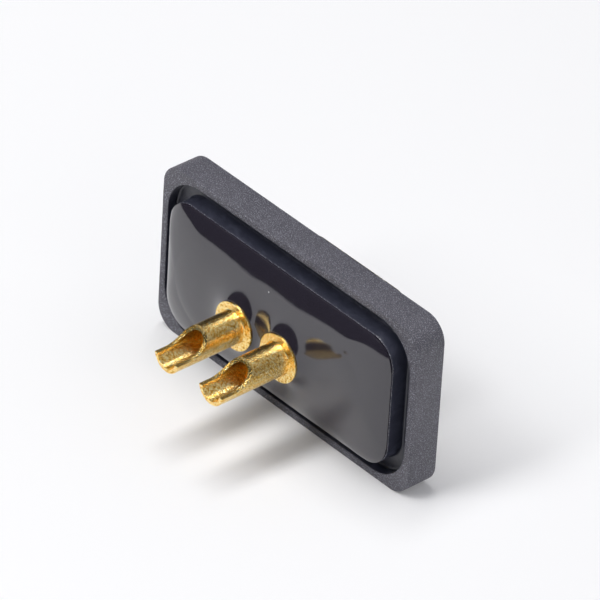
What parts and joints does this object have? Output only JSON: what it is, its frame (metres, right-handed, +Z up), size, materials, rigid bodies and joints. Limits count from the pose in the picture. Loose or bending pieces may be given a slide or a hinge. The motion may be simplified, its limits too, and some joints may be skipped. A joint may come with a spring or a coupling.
{
  "type": "waterproof d-sub connector",
  "caption": "Sealed panel D-sub receptacle: black moulded frame with a potted back, D-shaped nickel nose with two power sockets, and gold solder cups.",
  "frame": {"origin": "midpoint between the two fixing holes, on the face of the flange that meets the panel", "axes": "+Y out of the mating side, -Y along the solder cups; +X along the connector; +Z up its height, towards the wide side of the D"},
  "size_m": [0.0388, 0.0226, 0.0202],
  "materials": {
    "frame_pbt": "fine spark-eroded texture, black glass-filled PBT",
    "seal_rubber": "moulded black silicone rubber",
    "shell_nickel": "pressed steel, satin nickel plate",
    "insulator_pbt": "moulded black PBT, satin",
    "epoxy": "glossy black epoxy, cured as poured",
    "insert_nickel_brass": "nickel-plated brass, tapped",
    "contact_gold": "turned brass, gold plated",
    "hood_stainless": "drawn stainless steel",
    "clip_copper_alloy": "stamped copper alloy spring"
  },
  "bodies": {
    "root": {"housing": "frame_pbt", "panel_seal": "seal_rubber", "front_shell": "shell_nickel", "rear_shell": "shell_nickel", "front_insulator": "insulator_pbt", "rear_insulator": "insulator_pbt", "potting": "epoxy", "threaded_insert_left": "insert_nickel_brass", "threaded_insert_right": "insert_nickel_brass", "contact_left": "contact_gold", "contact_right": "contact_gold", "contact_hood_left": "hood_stainless", "contact_hood_right": "hood_stainless", "retention_clip_left": "clip_copper_alloy", "retention_clip_right": "clip_copper_alloy"}
  },
  "joints": []
}
